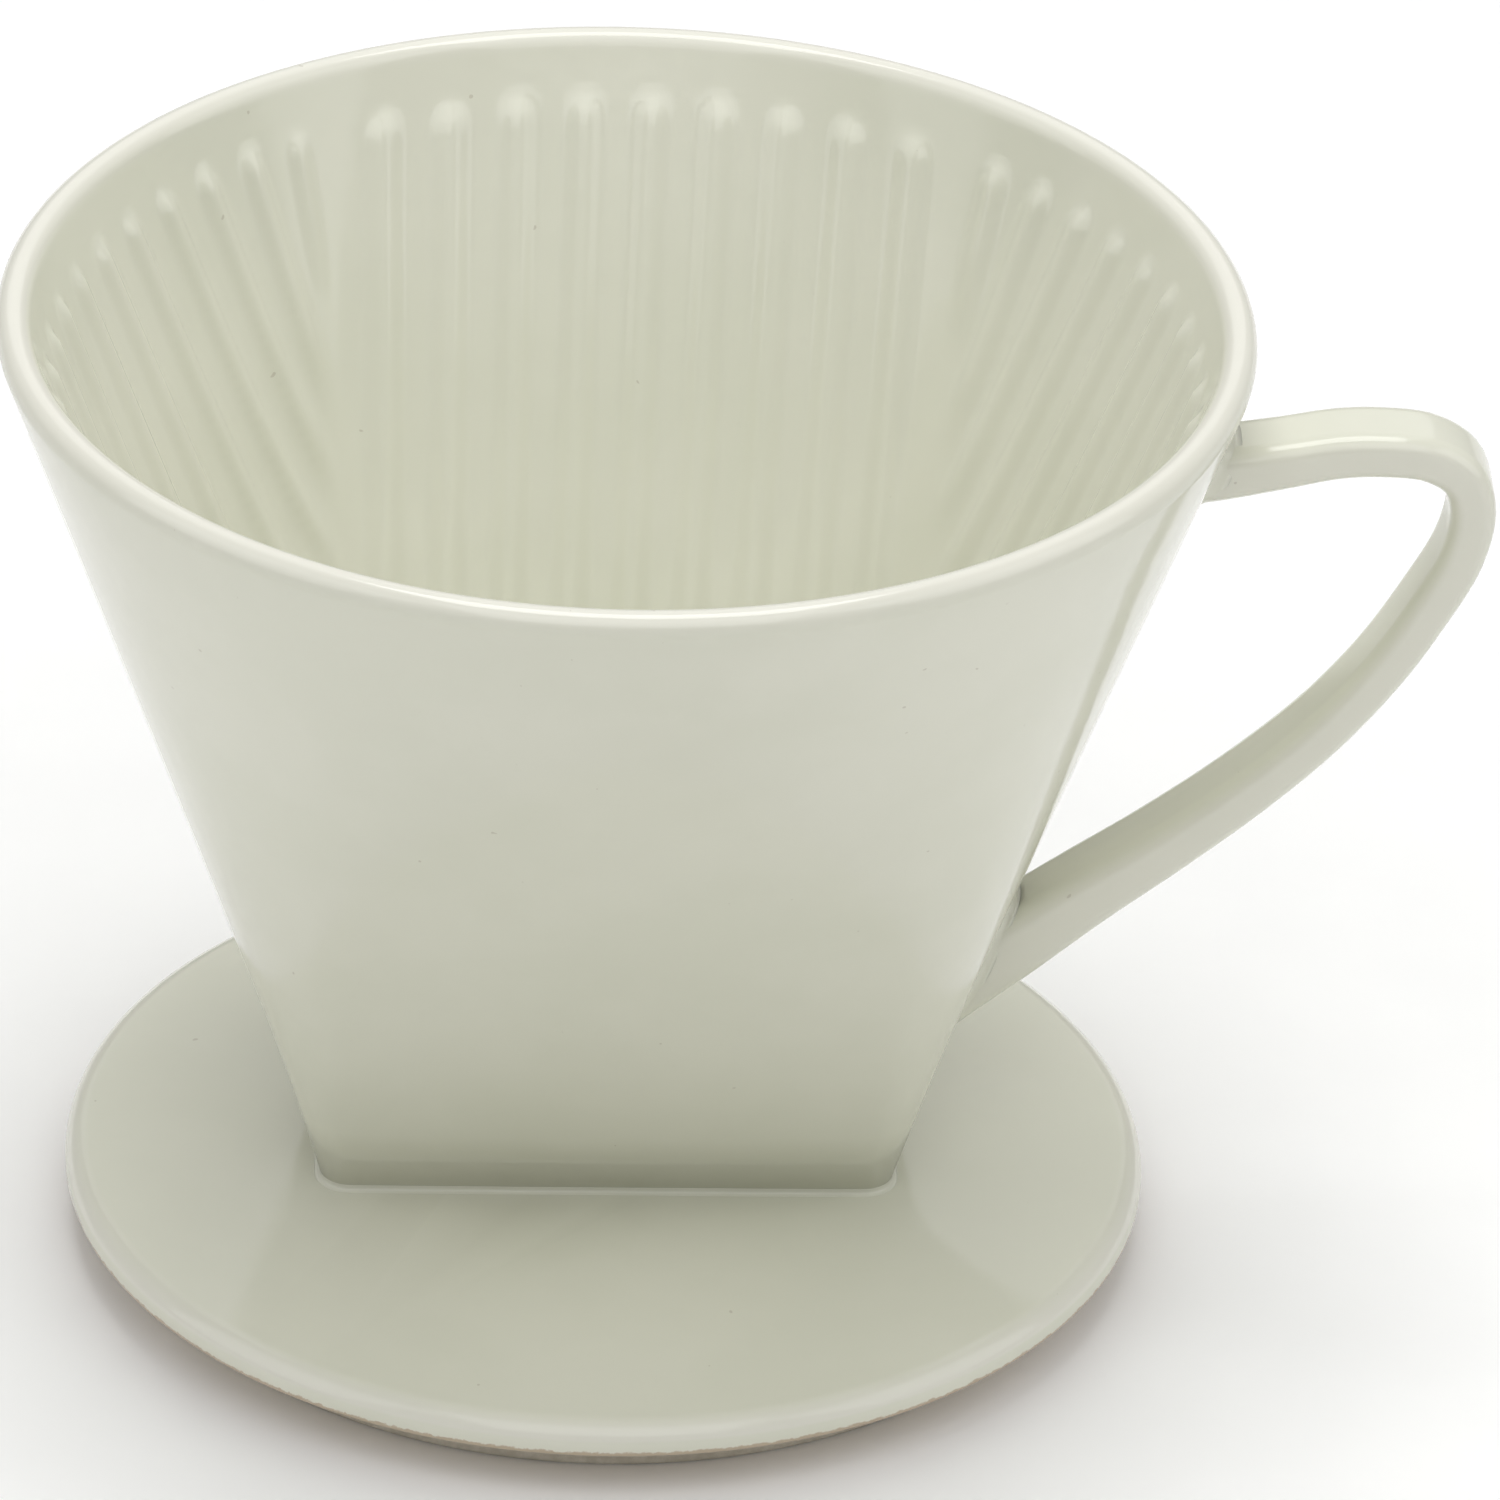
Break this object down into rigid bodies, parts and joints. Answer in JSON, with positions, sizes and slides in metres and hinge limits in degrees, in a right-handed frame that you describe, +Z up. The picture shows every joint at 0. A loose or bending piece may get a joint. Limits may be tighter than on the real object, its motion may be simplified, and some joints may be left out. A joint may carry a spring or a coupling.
{
  "type": "pour over dripper",
  "caption": "Wedge coffee dripper in ivory glazed porcelain: round rim, narrow slot base on a round flange with a foot ring, ribbed inside, strap handle at one end.",
  "frame": {"origin": "middle of the bounding box, on the surface that the foot ring stands on", "axes": "+X along the narrow base slot towards the handle, +Y across the slot to the back, +Z up"},
  "size_m": [0.15, 0.125, 0.105],
  "materials": {
    "ivory_glaze": "glossy",
    "seam_glaze": "glossy",
    "bare_foot": "matte"
  },
  "bodies": {
    "root": {"bowl": "ivory_glaze", "base_flange": "ivory_glaze", "foot_ring": "bare_foot", "handle": "ivory_glaze", "bowl_seam": "seam_glaze", "handle_upper_seam": "seam_glaze", "handle_lower_seam": "seam_glaze"}
  },
  "joints": []
}
